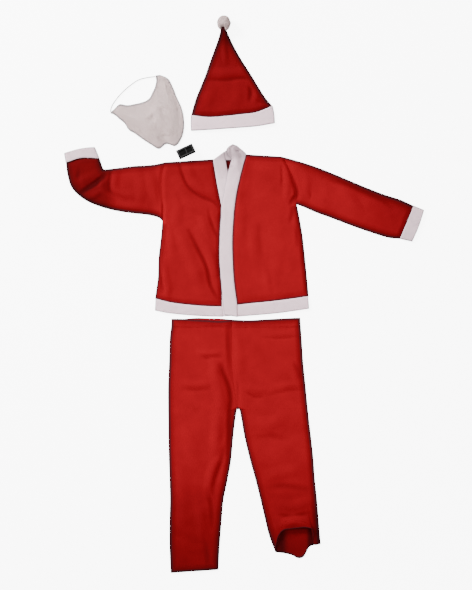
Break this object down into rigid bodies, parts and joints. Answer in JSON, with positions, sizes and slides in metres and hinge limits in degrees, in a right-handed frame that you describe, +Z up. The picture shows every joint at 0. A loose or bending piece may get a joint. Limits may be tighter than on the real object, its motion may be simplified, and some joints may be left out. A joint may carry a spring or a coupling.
{
  "type": "santa suit",
  "caption": "Child's santa suit laid out flat: open-front jacket, trousers, pointed hat with pompom, plush beard on elastic and a rolled belt, as rigid cloth forms.",
  "frame": {"origin": "centre of the suit's box, on the surface it lies on", "axes": "+X across the suit from the wearer's right sleeve to the left one, +Y from the trouser hems to the hat, +Z up from the surface"},
  "size_m": [1.1134, 1.7234, 0.0352],
  "materials": {
    "red_cloth": "thin brushed polyester, matt, with a faint nap",
    "white_plush": "short-pile white plush trim",
    "beard_plush": "long soft white pile on a backing",
    "white_elastic": "thin round covered elastic",
    "black_belt_plastic": "thin black PVC strip with a soft sheen",
    "black_buckle_plastic": "black moulded plastic"
  },
  "bodies": {
    "root": {"jacket_back": "red_cloth", "jacket_front_right": "red_cloth", "jacket_front_left": "red_cloth", "sleeve_right": "red_cloth", "sleeve_left": "red_cloth", "cuff_right": "white_plush", "cuff_left": "white_plush", "hem_band_back": "white_plush", "hem_band_right": "white_plush", "hem_band_left": "white_plush", "front_band_right": "white_plush", "front_band_left": "white_plush", "neck_band": "white_plush", "trouser_leg_right": "red_cloth", "trouser_leg_left": "red_cloth", "hat_cone": "red_cloth", "hat_brim": "white_plush", "hat_pompom": "white_plush", "beard": "beard_plush", "beard_elastic": "white_elastic", "belt_roll": "black_belt_plastic", "belt_buckle": "black_buckle_plastic"}
  },
  "joints": []
}
